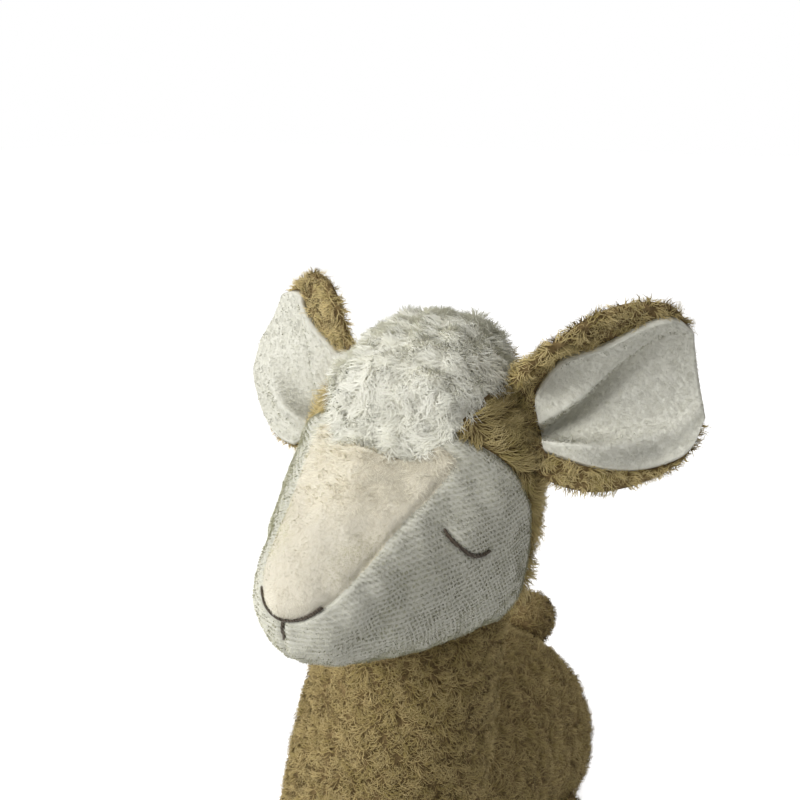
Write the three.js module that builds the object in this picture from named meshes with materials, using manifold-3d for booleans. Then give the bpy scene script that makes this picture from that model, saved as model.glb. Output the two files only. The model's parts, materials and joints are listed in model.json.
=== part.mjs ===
// A plush llama lying on its belly, with a removable heat pillow in a pocket that opens under the tail.
// Millimetres. +Z is up, the nose points to -Y and the llama's left side is +X.
import * as THREE from 'three';
import { mergeVertices } from 'three/addons/utils/BufferGeometryUtils.js';
import Module from 'manifold-3d';

const wasm = await Module();
wasm.setup();

// Fabrics and clearances
const PLUSH = 4;
const FACE_FABRIC = 3;
const LIMB_PLUSH = 3.5;
const COTTON = 1.2;
const SEAM_GAP = 0.3;
const SWING_GAP = 0.6;
const SEAT_GAP = 0.7;
const FLOOR_CUT = 0.5;

// Torso, measured from the shoulder axis: distance back, half width, top height, height of the underside
const SHOULDER_RADIUS = 53;
const SHOULDER_HEIGHT = SHOULDER_RADIUS - FLOOR_CUT;
const SHOULDER_HALF_WIDTH = 41.5;
const TORSO_LENGTH = 108;
const TORSO_ROWS = [
  [0, SHOULDER_HALF_WIDTH, SHOULDER_HEIGHT + SHOULDER_RADIUS, -FLOOR_CUT],
  [35, 43, 100.5, -FLOOR_CUT],
  [70, 44, 90.5, -FLOOR_CUT],
  [TORSO_LENGTH - 16, 44, 81.5, -FLOOR_CUT],
  [TORSO_LENGTH - 5, 42.5, 73.5, -FLOOR_CUT],
  [TORSO_LENGTH, 40, 67, 1.5],
];
const BACK_ROUNDNESS = 1.9;
const BELLY_SQUARENESS = 4.2;
const BELLY_SEAM_HEIGHT = 7;

// Neck: height, distance of its centre from the shoulder axis, half width, half depth
const NECK_ROWS = [
  [40, -10, 31, 41],
  [62, -14, 34.5, 44.5],
  [86, -13, 35, 42],
  [110, -7, 33.5, 37],
  [135, 2.5, 32, 33.5],
  [160, 9.5, 31.5, 32],
  [192, 15, 30, 30],
];

// Head: distance from the middle of the skull, half width, top height, height of the underside
const SKULL_BACK = 15;
const SKULL_HEIGHT = 195;
const SKULL_RADIUS = 45.5;
const SKULL_HALF_WIDTH = 56;
const underSkull = (y) => SKULL_HEIGHT - Math.sqrt(SKULL_RADIUS ** 2 - y ** 2);
const HEAD_ROWS = [
  [-82.5, 6.5, 186.5, 175],
  [-79, 13.5, 191, 169],
  [-72, 19.5, 196.5, 163.5],
  [-61, 25.5, 203, 158],
  [-47, 32, 211, 153.5],
  [-32, 38.5, 220.5, 151],
  [-15, 42.5, 233, underSkull(-15)],
  [2, 39, 239, underSkull(2)],
  [20, 33.5, 235, underSkull(20)],
  [32, 24.5, 223, underSkull(32)],
  [38, 13, 210, underSkull(38)],
];
const HEAD_SQUARENESS = 2.1;
const JAW_SQUARENESS = 2.6;

// Face panels: the face ends at a round seam across the cheeks, the bridge widens towards the forelock
const FACE_SEAM_CENTRE = [-63, 181];
const FACE_SEAM_RADIUS = 55;
const BRIDGE_FRONT = [-98, 12];
const BRIDGE_NOSE = [-78, 12];
const BRIDGE_BACK = [-30, 25];
const BRIDGE_LOWEST = 183;
const FORELOCK_BACK = 20;
const FORELOCK_HALF_WIDTH = 28;
const FORELOCK_LOWEST = 205;
const FORELOCK_DOME = [32.5, 38, 26];
const FORELOCK_DOME_CENTRE = [-6, 219.5];
const FORELOCK_DOME_TILT = 22;

// Embroidery
const THREAD_RADIUS = 0.8;
const EYE_POINTS = [[-41.5, 198.4], [-40.4, 194.8], [-38, 191.8], [-34.8, 189.8], [-31.4, 189.4]];
const MOUTH_ARM = [[0, 183.4], [3.6, 184.2], [6.8, 185.7], [9.6, 188]];
const MOUTH_STEM = [[0, 183.8], [0, 180.4], [0, 176.8]];

// Ears: base on the left of the head, how each ear lies, then along the ear its half width and curl radius
const EAR_BASE = [29.5, 4, 222];
const LEFT_EAR = { sweepBack: 23, rise: 14, drop: 0 };
const RIGHT_EAR = { sweepBack: 15, rise: 27, drop: 6 };
const EAR_LENGTH = 55;
const EAR_ROWS = [
  [0, 24, 17],
  [0.12, 31, 22],
  [0.3, 35, 29],
  [0.5, 34, 37],
  [0.7, 30, 43],
  [0.88, 22.5, 43],
  [1, 11, 43],
];
const EAR_BACK_THICKNESS = 3;
const EAR_LINING_THICKNESS = 2;
const EAR_LINING_INSET = 1.5;
const EAR_LAYER_GAP = 0.5;

// Legs: for each step along the leg its radius
const FRONT_LEG = {
  root: [24, -19],
  splay: 13,
  rows: [[0, 9], [7, 15], [24, 18.5], [50, 17], [67, 17.5], [79, 15.5], [86, 8]],
};
const HIND_LEG = {
  root: [34, TORSO_LENGTH - 34],
  splay: 11,
  rows: [[0, 10], [7, 15.5], [20, 17.5], [40, 16.5], [56, 17], [68, 15], [75, 8]],
};

// Tail: root, slope below level, then for each step along the tail its radius
const TAIL_ROOT = [TORSO_LENGTH - 9, 68.5];
const TAIL_SLOPE = 2;
const TAIL_ROWS = [[0, 7], [7, 10.5], [19, 12], [32, 10.5], [41, 6]];

// Pocket and heat pillow
const POCKET_HEIGHT = 26;
const POCKET_HALF_WIDTH = 33.5;
const POCKET_HALF_HEIGHT = 14.2;
const POCKET_FRONT = -14;
const POCKET_SQUARENESS = 2.6;
const PILLOW_CLEARANCE = 0.7;
const PILLOW_FRONT = -9;
const PILLOW_BACK = TORSO_LENGTH - 10;
const PILLOW_RIM = 3.5;
const PILLOW_RIM_THICKNESS = 0.8;

// Flap that closes the pocket, with hook and loop tapes along its lower edge
const FLAP_HALF_WIDTH = 36.5;
const FLAP_LOWEST = 3;
const FLAP_THICKNESS = 4.5;
const FLAP_HINGE_HEIGHT = 48.5;
const FLAP_HEM_RADIUS = 2.9;
const FLAP_CORNER = 14;
const TAPE_THICKNESS = 1.2;
const TAPE_LOWEST = 3.6;
const TAPE_HIGHEST = 9.6;
const TAPE_HALF_WIDTH = 26;

// Ways the sewn joints turn, in degrees
const NECK_BEND = [-8, 21];
const HEAD_NOD = [-22, 8];
const EAR_FOLD = [-25, 25];
const LEG_SPLAY = [-5, 40];
const TAIL_LIFT = [-5, 40];

// Mesh detail
const BODY_SIDES = 22;
const PILLOW_SIDES = 16;
const NECK_SIDES = 20;
const LIMB_SIDES = 12;
const SEAT_SIDES = 26;
const EAR_STEPS = 8;

const COLOURS = {
  plush: [0xa58d62, 0.95],
  velour: [0xeee8dc, 0.9],
  pile: [0xf7f4ee, 0.95],
  thread: [0x5a4334, 0.7],
  cotton: [0xe6dcc6, 0.85],
  stones: [0x9c7648, 0.6],
  wool: [0xf1ece0, 1],
  tape: [0xcdbd9c, 0.8],
};

// Shape helpers
const vector = (x, y, z) => new THREE.Vector3(x, y, z);
const radians = THREE.MathUtils.degToRad;

function solidOf(geometry) {
  const bare = geometry.clone();
  bare.deleteAttribute('normal');
  bare.deleteAttribute('uv');
  const merged = mergeVertices(bare, 1e-4);
  return new wasm.Manifold(new wasm.Mesh({
    numProp: 3,
    vertProperties: merged.attributes.position.array,
    triVerts: merged.index.array,
  }));
}

function geometryOf(solid) {
  const mesh = solid.getMesh();
  const geometry = new THREE.BufferGeometry();
  geometry.setAttribute('position', new THREE.BufferAttribute(mesh.vertProperties, 3));
  geometry.setIndex(new THREE.BufferAttribute(mesh.triVerts, 1));
  return geometry;
}

// Values between the rows of a table, by the row's first number
function smooth(rows) {
  const keys = rows.map((row) => row[0]);
  const values = rows.flatMap((row) => row.slice(1));
  const curve = new THREE.CubicInterpolant(keys, values, rows[0].length - 1);
  return (key) => Array.from(curve.evaluate(THREE.MathUtils.clamp(key, keys[0], keys.at(-1))));
}

// Closed form through rings of points, each end closed to the ring's middle.
// The two halves of a ring are split into triangles as mirror images.
function loft(rings) {
  const sides = rings[0].length;
  const points = rings.flat();
  const index = [];
  for (let i = 0; i + 1 < rings.length; i += 1) {
    for (let j = 0; j < sides; j += 1) {
      const a = i * sides + j;
      const b = i * sides + (j + 1) % sides;
      if (j < sides / 2) {
        index.push(a, b, b + sides, a, b + sides, a + sides);
      } else {
        index.push(a, b, a + sides, b, b + sides, a + sides);
      }
    }
  }
  for (const [ring, turn] of [[0, 1], [rings.length - 1, -1]]) {
    const middle = vector(0, 0, 0);
    rings[ring].forEach((point) => middle.addScaledVector(point, 1 / sides));
    points.push(middle);
    for (let j = 0; j < sides; j += 1) {
      const a = ring * sides + j;
      const b = ring * sides + (j + 1) % sides;
      index.push(points.length - 1, turn > 0 ? b : a, turn > 0 ? a : b);
    }
  }
  const geometry = new THREE.BufferGeometry().setFromPoints(points);
  geometry.setIndex(index);
  return geometry;
}

// Ring across the Y axis, rounded above and squarer below its centre
function ring(y, centre, halfWidth, up, down, upPower, downPower, sides) {
  return Array.from({ length: sides }, (_, i) => {
    const turn = (i / sides) * 2 * Math.PI;
    const power = 2 / (Math.cos(turn) > 0 ? upPower : downPower);
    const bend = (value) => Math.sign(value) * Math.abs(value) ** power;
    const high = bend(Math.cos(turn));
    return vector(halfWidth * bend(Math.sin(turn)), y, centre + (high > 0 ? up : down) * high);
  });
}

function box(low, high) {
  const size = high.map((value, i) => value - low[i]);
  const middle = high.map((value, i) => (value + low[i]) / 2);
  return solidOf(new THREE.BoxGeometry(...size).translate(...middle));
}

function mirrored(geometry) {
  const copy = geometry.clone().scale(-1, 1, 1);
  copy.setIndex(Array.from(copy.index.array).reverse());
  return copy;
}

function turned(geometry, hinge, degrees) {
  const turn = new THREE.Matrix4().makeRotationAxis(hinge.axis, radians(degrees));
  return geometry.clone()
    .translate(-hinge.at.x, -hinge.at.y, -hinge.at.z)
    .applyMatrix4(turn)
    .translate(hinge.at.x, hinge.at.y, hinge.at.z);
}

// Everything a neighbour covers while a piece on the hinge turns through its range
function swept(neighbour, hinge) {
  const [least, most] = hinge.range;
  const angles = [least, (least + most) / 2, most, 0];
  const places = angles.map((angle) => solidOf(turned(neighbour, hinge, -angle)));
  return places.reduce((all, place) => all.add(place));
}

// Round seat about a hinge that runs across the toy
function seat(hinge, halfWidth, radius) {
  const round = new THREE.SphereGeometry(1, SEAT_SIDES, SEAT_SIDES / 2).scale(radius, halfWidth, radius);
  return solidOf(round.rotateZ(Math.PI / 2).translate(...hinge.at.toArray()));
}

const FAR = 400;
const underFloor = box([-FAR, -FAR, -FAR], [FAR, FAR, 0]);
const acrossX = vector(1, 0, 0);
const upright = vector(0, 0, 1);

// Soft forms, each grown or shrunk by a distance
const torsoAt = smooth(TORSO_ROWS);

function torsoForm(grow) {
  const rings = [];
  for (const angle of [6, 18, 32, 46, 60, 75]) {
    const reach = (SHOULDER_RADIUS + grow) * Math.sin(radians(angle));
    const y = -(SHOULDER_RADIUS + grow) * Math.cos(radians(angle));
    const halfWidth = (SHOULDER_HALF_WIDTH + grow) * Math.sin(radians(angle));
    rings.push(ring(y, SHOULDER_HEIGHT, halfWidth, reach, reach, 2, 2, BODY_SIDES));
  }
  for (const share of [0, 0.17, 0.35, 0.54, 0.7, 0.83, 0.92, 0.97, 1]) {
    const y = share * TORSO_LENGTH;
    const [halfWidth, top, bottom] = torsoAt(y);
    const squareness = THREE.MathUtils.lerp(2, BELLY_SQUARENESS, THREE.MathUtils.smoothstep(y, 0, 40));
    const roundness = THREE.MathUtils.lerp(2, BACK_ROUNDNESS, THREE.MathUtils.smoothstep(y, 0, 40));
    const up = top + grow - SHOULDER_HEIGHT;
    const down = SHOULDER_HEIGHT - bottom + grow;
    const back = share * (TORSO_LENGTH + grow);
    rings.push(ring(back, SHOULDER_HEIGHT, halfWidth + grow, up, down, roundness, squareness, BODY_SIDES));
  }
  return loft(rings);
}

const neckAt = smooth(NECK_ROWS);

function neckForm(grow) {
  const lowest = NECK_ROWS[0][0];
  const highest = NECK_ROWS.at(-1)[0];
  return loft(Array.from({ length: 11 }, (_, i) => {
    const z = THREE.MathUtils.lerp(lowest, highest, i / 10);
    const [centre, halfWidth, halfDepth] = neckAt(z);
    return Array.from({ length: NECK_SIDES }, (_, j) => {
      const turn = (j / NECK_SIDES) * 2 * Math.PI;
      const x = (halfWidth + grow) * Math.cos(turn);
      return vector(x, centre + (halfDepth + grow) * Math.sin(turn), z);
    });
  }));
}

const headAt = smooth(HEAD_ROWS);

function headForm(grow) {
  const front = HEAD_ROWS[0][0];
  const back = HEAD_ROWS.at(-1)[0];
  const middle = (front + back) / 2;
  const stretch = 1 + grow / (back - middle);
  const stations = [front, -81, -78, -72, -65, -55, -44, -32, -20, -8, 4, 16, 25, 32, 36, back];
  return loft(stations.map((y) => {
    const [halfWidth, top, bottom] = headAt(y);
    const half = (top - bottom) / 2 + grow;
    const reach = middle + (y - middle) * stretch;
    const fullness = THREE.MathUtils.smoothstep(y, -75, -35);
    const jaw = THREE.MathUtils.lerp(HEAD_SQUARENESS, JAW_SQUARENESS, fullness);
    return ring(reach, (top + bottom) / 2, halfWidth + grow, half, half, HEAD_SQUARENESS, jaw, BODY_SIDES);
  }));
}

// Round limb along a line; with a floor under it the limb rests on that floor all along
function limbForm(rows, grow, start, along, across, onFloor) {
  const reach = rows.at(-1)[0];
  const radiusAt = smooth(rows);
  const up = vector(0, 0, 0).crossVectors(along, across);
  const stations = [-grow, ...rows.slice(1, -1).map((row) => row[0]), reach + grow];
  return loft(stations.map((s) => {
    const [radius] = radiusAt(s);
    const centre = start.clone().addScaledVector(along, s);
    if (onFloor) {
      centre.z = radius - FLOOR_CUT;
    }
    return Array.from({ length: LIMB_SIDES }, (_, i) => {
      const turn = ((i + 0.5) / LIMB_SIDES) * 2 * Math.PI;
      return centre.clone()
        .addScaledVector(across, (radius + grow) * Math.cos(turn))
        .addScaledVector(up, (radius + grow) * Math.sin(turn));
    });
  }));
}

// Round-ended tube that lines the pocket, open towards the tail
function pocketForm(grow, rear) {
  const steps = [[0, 0.6], [4, 0.82], [12, 0.94], [26, 1]];
  const rings = steps.map(([step, share]) => {
    const width = (POCKET_HALF_WIDTH + grow) * share;
    const height = (POCKET_HALF_HEIGHT + grow) * share;
    return ring(POCKET_FRONT - grow + step, POCKET_HEIGHT, width, height, height,
      POCKET_SQUARENESS, POCKET_SQUARENESS, BODY_SIDES);
  });
  rings.push(rings.at(-1).map((point) => vector(point.x, rear, point.z)));
  return loft(rings);
}

// Filled pillow with a thin edge
function pillowForm(grow) {
  const width = POCKET_HALF_WIDTH - PILLOW_CLEARANCE - PILLOW_RIM;
  const height = POCKET_HALF_HEIGHT - PILLOW_CLEARANCE;
  const half = (PILLOW_BACK - PILLOW_FRONT) / 2 - PILLOW_RIM;
  const middle = (PILLOW_BACK + PILLOW_FRONT) / 2;
  return loft([-1, -0.95, -0.8, -0.5, 0, 0.5, 0.8, 0.95, 1].map((s) => {
    const thick = (height + grow) * Math.max(1 - Math.abs(s) ** 2.6, 0.05) ** 0.6;
    const wide = (width + grow) * Math.max(1 - Math.abs(s) ** 5, 0.2) ** 0.3;
    return ring(middle + (half + grow) * s, POCKET_HEIGHT, wide, thick, thick, 2, 2, PILLOW_SIDES);
  }));
}

function pillowRim(low, high) {
  const width = POCKET_HALF_WIDTH - PILLOW_CLEARANCE;
  const half = (PILLOW_BACK - PILLOW_FRONT) / 2;
  const middle = (PILLOW_BACK + PILLOW_FRONT) / 2;
  const outline = (z) => Array.from({ length: BODY_SIDES }, (_, i) => {
    const turn = ((i + 0.5) / BODY_SIDES) * 2 * Math.PI;
    const bend = (value) => Math.sign(value) * Math.abs(value) ** 0.45;
    return vector(width * bend(Math.cos(turn)), middle + half * bend(Math.sin(turn)), z);
  });
  return solidOf(loft([outline(low), outline(high)]));
}

// Pieces, gathered by name
const toy = new THREE.Group();
toy.name = 'llama_heat_pillow';
const head = new THREE.Group();
head.name = 'head';
head.position.y = SKULL_BACK;
toy.add(head);

function addMesh(name, geometry, finish, place) {
  const [color, roughness] = COLOURS[finish];
  const material = new THREE.MeshStandardMaterial({ color, roughness, metalness: 0 });
  const mesh = new THREE.Mesh(geometry, material);
  mesh.name = name;
  place.add(mesh);
}

function addPiece(name, solid, finish, place = toy) {
  addMesh(name, geometryOf(solid), finish, place);
}

function addPair(name, solid, finish, place = toy) {
  const geometry = geometryOf(solid);
  addMesh(`left_${name}`, geometry, finish, place);
  addMesh(`right_${name}`, mirrored(geometry), finish, place);
}

// Hinges of the sewn joints
const neckHinge = { at: vector(0, 0, SHOULDER_HEIGHT), axis: acrossX, range: NECK_BEND };
const headHinge = { at: vector(0, SKULL_BACK, SKULL_HEIGHT), axis: acrossX, range: HEAD_NOD };
const tailHinge = { at: vector(0, ...TAIL_ROOT), axis: acrossX, range: TAIL_LIFT };

// Torso: two plush sides, a belly panel, wool stuffing and the cotton pocket
const pocketHole = solidOf(pocketForm(COTTON + SEAM_GAP, TORSO_LENGTH + 20));
const torsoSkin = solidOf(torsoForm(0))
  .subtract(solidOf(torsoForm(-PLUSH)))
  .subtract(pocketHole)
  .subtract(underFloor);
const aboveBellySeam = box([SEAM_GAP / 2, -FAR, BELLY_SEAM_HEIGHT + SEAM_GAP], [FAR, FAR, FAR]);
const belowBellySeam = box([-FAR, -FAR, -1], [FAR, FAR, BELLY_SEAM_HEIGHT]);
addPair('torso_side', torsoSkin.intersect(aboveBellySeam), 'plush');
addPiece('belly_panel', torsoSkin.intersect(belowBellySeam), 'plush');
addPiece('torso_stuffing', solidOf(torsoForm(-PLUSH - SEAM_GAP)).subtract(pocketHole), 'wool');
const pocketSpace = solidOf(pocketForm(0, TORSO_LENGTH + 20));
addPiece('pocket_bag', solidOf(pocketForm(COTTON, TORSO_LENGTH)).subtract(pocketSpace), 'cotton');

// Neck: a plush tube and its stuffing, cut clear of the shoulders and the swinging head
const shoulders = seat(neckHinge, SHOULDER_HALF_WIDTH + SEAT_GAP, SHOULDER_RADIUS + SEAT_GAP)
  .add(solidOf(turned(torsoForm(SWING_GAP), neckHinge, -NECK_BEND[0])));
const skull = seat(headHinge, SKULL_HALF_WIDTH + SEAT_GAP, SKULL_RADIUS + SEAT_GAP)
  .add(solidOf(turned(headForm(SWING_GAP).translate(0, SKULL_BACK, 0), headHinge, HEAD_NOD[1])));
const besideNeck = shoulders.add(skull);
const neckSkin = solidOf(neckForm(0)).subtract(solidOf(neckForm(-PLUSH)));
addPiece('neck_skin', neckSkin.subtract(besideNeck), 'plush');
addPiece('neck_stuffing', solidOf(neckForm(-PLUSH - SEAM_GAP)).subtract(besideNeck), 'wool');

// Head: the face panels meet under the nose, the forelock sits between the bridge and the back panel
const headSkin = solidOf(headForm(0)).subtract(solidOf(headForm(-FACE_FABRIC)));

function faceSpace(grow) {
  const round = new THREE.CylinderGeometry(FACE_SEAM_RADIUS + grow, FACE_SEAM_RADIUS + grow, FAR, 48);
  return solidOf(round.rotateZ(Math.PI / 2).translate(0, ...FACE_SEAM_CENTRE));
}

function prism(outline, lowest) {
  const right = outline.map(([y, x]) => new THREE.Vector2(-x, y));
  const left = outline.map(([y, x]) => new THREE.Vector2(x, y)).reverse();
  const shape = new THREE.Shape([...left, ...right]);
  const wall = new THREE.ExtrudeGeometry(shape, { depth: FAR, bevelEnabled: false });
  return solidOf(wall.translate(0, 0, lowest));
}

function bridgeSpace(grow) {
  const wide = ([y, x]) => [y, x + grow];
  const [backY, backX] = BRIDGE_BACK;
  const end = [backY + grow, backX + grow];
  return prism([wide(BRIDGE_FRONT), wide(BRIDGE_NOSE), end], BRIDGE_LOWEST - grow);
}

function forelockSpace(grow) {
  const front = BRIDGE_BACK[0] + SEAM_GAP - grow;
  const back = FORELOCK_BACK + grow;
  const middle = (front + back) / 2;
  const half = (back - front) / 2;
  const outline = Array.from({ length: 9 }, (_, i) => {
    const turn = (i / 8 - 0.5) * Math.PI;
    const width = (FORELOCK_HALF_WIDTH + grow) * Math.max(Math.cos(turn), 0.02) ** 0.3;
    return [middle + half * Math.sin(turn), width];
  });
  return prism(outline, FORELOCK_LOWEST - grow);
}

const face = headSkin.intersect(faceSpace(0)).subtract(forelockSpace(SEAM_GAP));
const cheek = face.subtract(bridgeSpace(SEAM_GAP)).intersect(box([SEAM_GAP / 2, -FAR, -FAR], [FAR, FAR, FAR]));

function crownForm(grow) {
  const dome = new THREE.SphereGeometry(1, BODY_SIDES, 12).scale(...FORELOCK_DOME.map((size) => size + grow));
  dome.rotateX(radians(FORELOCK_DOME_TILT)).translate(0, ...FORELOCK_DOME_CENTRE);
  return solidOf(headForm(grow)).add(solidOf(dome).intersect(forelockSpace(grow)));
}

const crest = crownForm(0).subtract(solidOf(headForm(-FACE_FABRIC)));
const backOfHead = headSkin.subtract(faceSpace(SEAM_GAP)).subtract(forelockSpace(SEAM_GAP));
addPair('cheek', cheek, 'velour', head);
addPiece('nose_bridge', face.intersect(bridgeSpace(0)), 'velour', head);
addPiece('forelock', crest.intersect(forelockSpace(0)), 'pile', head);
addPiece('head_back', backOfHead, 'plush', head);
addPiece('head_stuffing', solidOf(headForm(-FACE_FABRIC - SEAM_GAP)), 'wool', head);

// Embroidered eyes and mouth, laid on the face
const threadSeat = new THREE.Mesh(headForm(THREAD_RADIUS + SEAM_GAP), new THREE.MeshBasicMaterial());

function onFace(from, direction) {
  const [hit] = new THREE.Raycaster(from, direction).intersectObject(threadSeat);
  return hit.point;
}

function stitch(points) {
  const path = new THREE.CatmullRomCurve3(points);
  const thread = new THREE.Shape().absarc(0, 0, THREAD_RADIUS, 0, 2 * Math.PI);
  const settings = { steps: 2 * points.length, curveSegments: 3, bevelEnabled: false, extrudePath: path };
  return solidOf(new THREE.ExtrudeGeometry(thread, settings));
}

const eyePath = EYE_POINTS.map(([y, z]) => onFace(vector(FAR, y, z), vector(-1, 0, 0)));
addPair('eye', stitch(eyePath), 'thread', head);
const mouthPath = (points) => points.map(([x, z]) => onFace(vector(x, -FAR, z), vector(0, 1, 0)));
const otherArm = MOUTH_ARM.slice(1).reverse().map(([x, z]) => [-x, z]);
const mouth = stitch(mouthPath([...otherArm, ...MOUTH_ARM])).add(stitch(mouthPath(MOUTH_STEM)));
addPiece('mouth', mouth, 'thread', head);

// Ears: a plush back with a velour lining, cupped and pinched where they are sewn to the head
const earAt = smooth(EAR_ROWS);
const liningDepth = EAR_BACK_THICKNESS + EAR_LAYER_GAP;

function addEar(side, { sweepBack, rise, drop }) {
  const level = Math.cos(radians(rise));
  const sweep = radians(sweepBack);
  const along = vector(Math.cos(sweep) * level, Math.sin(sweep) * level, Math.sin(radians(rise)));
  const across = upright.clone().addScaledVector(along, -along.z).normalize();
  const front = vector(0, 0, 0).crossVectors(along, across);
  const base = vector(...EAR_BASE).addScaledVector(upright, -drop);
  const hinge = { at: base, axis: across, range: EAR_FOLD };
  const besideHead = swept(geometryOf(crownForm(SWING_GAP)), hinge);
  const layer = (depth, thickness, inset) => {
    const shares = [0, 0.08, 0.18, 0.3, 0.45, 0.6, 0.75, 0.88, 0.95, 1 - inset / EAR_LENGTH];
    const rings = shares.map((share) => {
      const [halfWidth, curl] = earAt(share);
      const half = Math.max(halfWidth - inset, 2) / curl;
      const arc = (radius, way) => Array.from({ length: EAR_STEPS + 1 }, (_, i) => {
        const angle = way * half * ((2 * i) / EAR_STEPS - 1);
        return base.clone()
          .addScaledVector(along, EAR_LENGTH * share)
          .addScaledVector(across, radius * Math.sin(angle))
          .addScaledVector(front, curl - radius * Math.cos(angle));
      });
      return [...arc(curl - depth, 1), ...arc(curl - depth - thickness, -1)];
    });
    const geometry = geometryOf(solidOf(loft(rings)).subtract(besideHead));
    return side === 'left' ? geometry : mirrored(geometry);
  };
  addMesh(`${side}_ear_back`, layer(0, EAR_BACK_THICKNESS, 0), 'plush', head);
  addMesh(`${side}_ear_lining`, layer(liningDepth, EAR_LINING_THICKNESS, EAR_LINING_INSET), 'velour', head);
}

addEar('left', LEFT_EAR);
addEar('right', RIGHT_EAR);

// Legs: stuffed plush limbs that splay on the floor
function addLegs(name, { root, splay, rows }) {
  const along = vector(Math.sin(radians(splay)), -Math.cos(radians(splay)), 0);
  const across = vector(0, 0, 0).crossVectors(upright, along);
  const start = vector(...root, 0);
  const hinge = { at: start, axis: upright, range: LEG_SPLAY };
  const form = (grow) => solidOf(limbForm(rows, grow, start, along, across, true));
  const kept = swept(torsoForm(SWING_GAP), hinge).add(underFloor);
  addPair(`${name}_leg_skin`, form(0).subtract(form(-LIMB_PLUSH)).subtract(kept), 'plush');
  addPair(`${name}_leg_stuffing`, form(-LIMB_PLUSH - SEAM_GAP).subtract(kept), 'wool');
}

addLegs('front', FRONT_LEG);
addLegs('hind', HIND_LEG);

// Tail
const tailAlong = vector(0, Math.cos(radians(TAIL_SLOPE)), -Math.sin(radians(TAIL_SLOPE)));
const tailForm = (grow) => solidOf(limbForm(TAIL_ROWS, grow, tailHinge.at, tailAlong, acrossX, false));
const besideTail = swept(torsoForm(SWING_GAP), tailHinge);
addPiece('tail_skin', tailForm(0).subtract(tailForm(-LIMB_PLUSH)).subtract(besideTail), 'plush');
addPiece('tail_stuffing', tailForm(-LIMB_PLUSH - SEAM_GAP).subtract(besideTail), 'wool');

// Heat pillow: two cotton panels sewn round the rim, filled with cherry stones
const pillowHollow = solidOf(pillowForm(-COTTON));
const seamTop = POCKET_HEIGHT + SEAM_GAP / 2;
const seamBottom = POCKET_HEIGHT - SEAM_GAP / 2;
const upperPanel = solidOf(pillowForm(0)).intersect(box([-FAR, -FAR, seamTop], [FAR, FAR, FAR]));
const lowerPanel = solidOf(pillowForm(0)).intersect(box([-FAR, -FAR, -FAR], [FAR, FAR, seamBottom]));
const upperRim = pillowRim(seamTop, seamTop + PILLOW_RIM_THICKNESS);
const lowerRim = pillowRim(seamBottom - PILLOW_RIM_THICKNESS, seamBottom);
addPiece('pillow_upper_panel', upperPanel.add(upperRim).subtract(pillowHollow), 'cotton');
addPiece('pillow_lower_panel', lowerPanel.add(lowerRim).subtract(pillowHollow), 'cotton');
addPiece('cherry_stones', solidOf(pillowForm(-COTTON - SEAM_GAP)), 'stones');

// Pocket flap with its hook tape, and the loop tape below the pocket
const loopBack = TORSO_LENGTH + SEAM_GAP + TAPE_THICKNESS;
const hookBack = loopBack + SEAM_GAP + TAPE_THICKNESS;
const flapFace = hookBack + SEAM_GAP;

function tape(back) {
  const low = [-TAPE_HALF_WIDTH, back - TAPE_THICKNESS, TAPE_LOWEST];
  return box(low, [TAPE_HALF_WIDTH, back, TAPE_HIGHEST]);
}

function flapSolid() {
  const outline = new THREE.Shape();
  outline.moveTo(-FLAP_HALF_WIDTH, FLAP_HINGE_HEIGHT);
  outline.lineTo(-FLAP_HALF_WIDTH, FLAP_LOWEST + FLAP_CORNER);
  outline.quadraticCurveTo(-FLAP_HALF_WIDTH, FLAP_LOWEST, FLAP_CORNER - FLAP_HALF_WIDTH, FLAP_LOWEST);
  outline.lineTo(FLAP_HALF_WIDTH - FLAP_CORNER, FLAP_LOWEST);
  outline.quadraticCurveTo(FLAP_HALF_WIDTH, FLAP_LOWEST, FLAP_HALF_WIDTH, FLAP_LOWEST + FLAP_CORNER);
  outline.lineTo(FLAP_HALF_WIDTH, FLAP_HINGE_HEIGHT);
  const settings = { depth: FLAP_THICKNESS, curveSegments: 5, bevelEnabled: false };
  const panel = new THREE.ExtrudeGeometry(outline, settings);
  panel.rotateX(Math.PI / 2).translate(0, flapFace + FLAP_THICKNESS, 0);
  const hem = new THREE.CylinderGeometry(FLAP_HEM_RADIUS, FLAP_HEM_RADIUS, 2 * FLAP_HALF_WIDTH, 18);
  const hemAxis = TORSO_LENGTH + SEAM_GAP + FLAP_HEM_RADIUS;
  hem.rotateZ(Math.PI / 2).translate(0, hemAxis, FLAP_HINGE_HEIGHT);
  return solidOf(panel).add(solidOf(hem));
}

addPiece('pocket_flap', flapSolid(), 'plush');
addPiece('hook_tape', tape(hookBack), 'tape');
addPiece('loop_tape', tape(loopBack), 'tape');

// The origin is on the floor under the middle of the toy
const reach = new THREE.Box3().setFromObject(toy);
toy.position.y = -(reach.min.y + reach.max.y) / 2;

export default toy;
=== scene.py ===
"""Looks of the plush llama with its heat pillow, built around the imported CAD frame.

Metres, +Z up, nose to -Y.
"""
import json
import math

import bpy
import numpy as np
from mathutils import Matrix, Vector
from mathutils.bvhtree import BVHTree
from mathutils.kdtree import KDTree


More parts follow.
